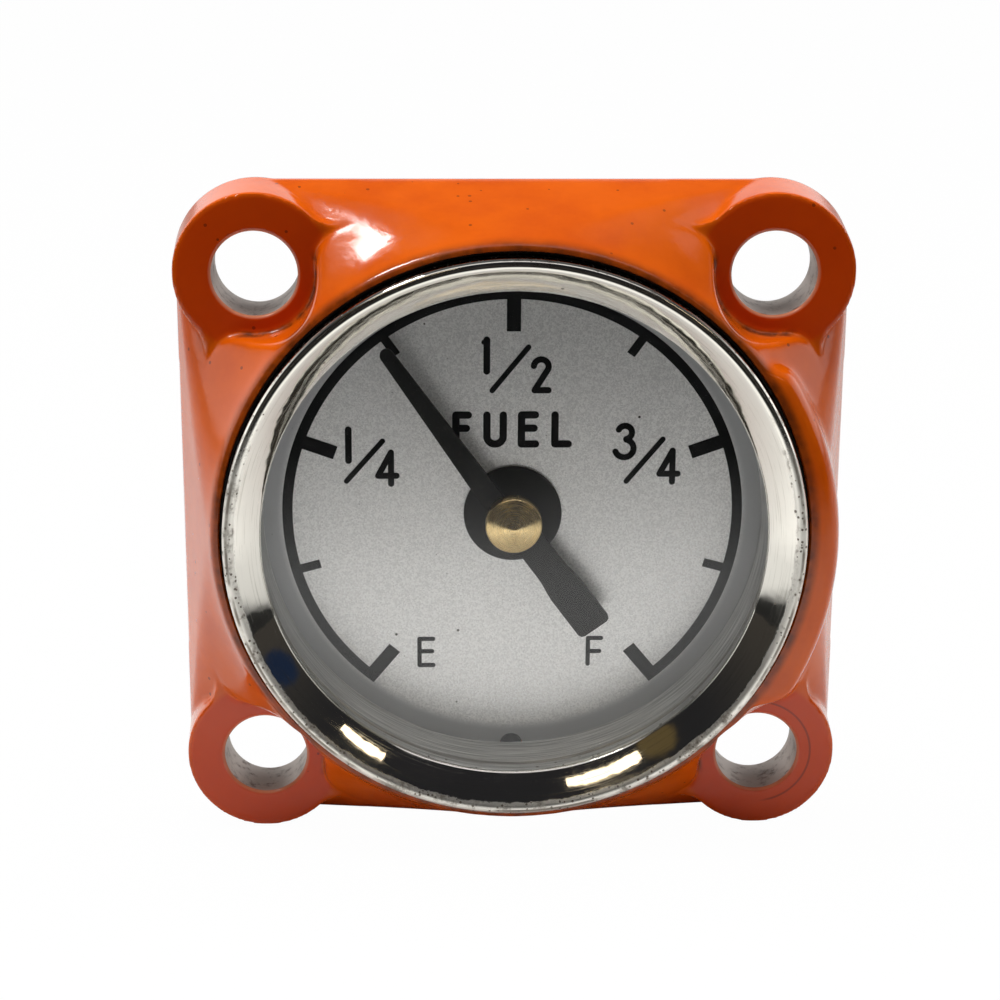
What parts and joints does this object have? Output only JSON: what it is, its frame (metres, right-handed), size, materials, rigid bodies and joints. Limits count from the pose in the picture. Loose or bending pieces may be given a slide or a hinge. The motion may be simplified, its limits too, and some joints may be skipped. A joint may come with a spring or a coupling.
{
  "type": "fuel gauge",
  "caption": "Direct-reading tank fuel gauge: square flange casting with round dial, magnet-driven pointer, and a float arm geared to it behind.",
  "frame": {"origin": "centre of the four bolt holes on the mounting face, which is the back of the flange", "axes": "-Y out of the dial towards the reader, +Y into the tank, +Z towards 12 o'clock of the dial, +X to the reader's right"},
  "size_m": [0.0674, 0.0618, 0.0674],
  "materials": {
    "painted_casting": "gloss enamel over a die casting, worn at the edges",
    "rubber": "matt black seal",
    "chrome": "polished, slightly dulled, grimy at the crest",
    "lens_glass": "clear",
    "spacer_metal": "satin, turned",
    "dial_metal": "silvered, fine speckle",
    "dial_ink": "matt black print",
    "black_paint": "matt black",
    "brass": "turned, aged",
    "jewel": "plain bearing",
    "steel": "bright",
    "dark_steel": "blackened",
    "magnet": "dark, unfinished",
    "bronze": "sintered bronze",
    "plated_steel": "zinc plated",
    "cast_alloy": "as cast"
  },
  "bodies": {
    "gauge_body": {"flange_casting": "painted_casting", "bezel_seal": "rubber", "bezel_ring": "chrome", "lens": "lens_glass", "spacer_ring": "spacer_metal", "dial_plate": "dial_metal", "dial_scale": "dial_ink", "dial_bush": "black_paint", "dial_pin": "dark_steel", "spindle_jewel": "jewel", "movement_bracket": "plated_steel", "bracket_screws": "steel", "shaft_bush": "bronze", "pivot_pin": "steel", "pivot_clip": "dark_steel", "pivot_washers": "steel", "travel_stops": "steel"},
    "pointer_group": {"pointer": "black_paint", "pointer_cap": "brass", "pointer_collar": "steel", "pointer_spindle": "steel", "driven_magnet": "magnet"},
    "drive_group": {"drive_shaft": "steel", "drive_magnet": "magnet", "magnet_cup": "brass", "pinion": "brass", "thrust_washer": "steel"},
    "float_arm_group": {"sector_gear": "brass", "float_arm_hub": "cast_alloy", "gear_rivets": "brass", "rod_set_screw": "dark_steel"}
  },
  "joints": [
    {"name": "float_arm", "type": "hinge", "parent": "gauge_body", "child": "float_arm_group", "pos_m": [0, 0.02728, 0], "axis": [1, 0, 0], "range_deg": [-35, 58.73]},
    {"name": "drive_shaft", "type": "hinge", "parent": "gauge_body", "child": "drive_group", "pos_m": [0, 0.0127, 0], "axis": [0, 1, 0], "range_deg": [-105, 176.2]},
    {"name": "pointer", "type": "hinge", "parent": "gauge_body", "child": "pointer_group", "pos_m": [0, 0, 0], "axis": [0, 1, 0], "range_deg": [-105, 176.2]}
  ],
  "couplings": [
    {"joint": "drive_shaft", "follows": "float_arm", "ratio": 3},
    {"joint": "pointer", "follows": "float_arm", "ratio": 3}
  ]
}
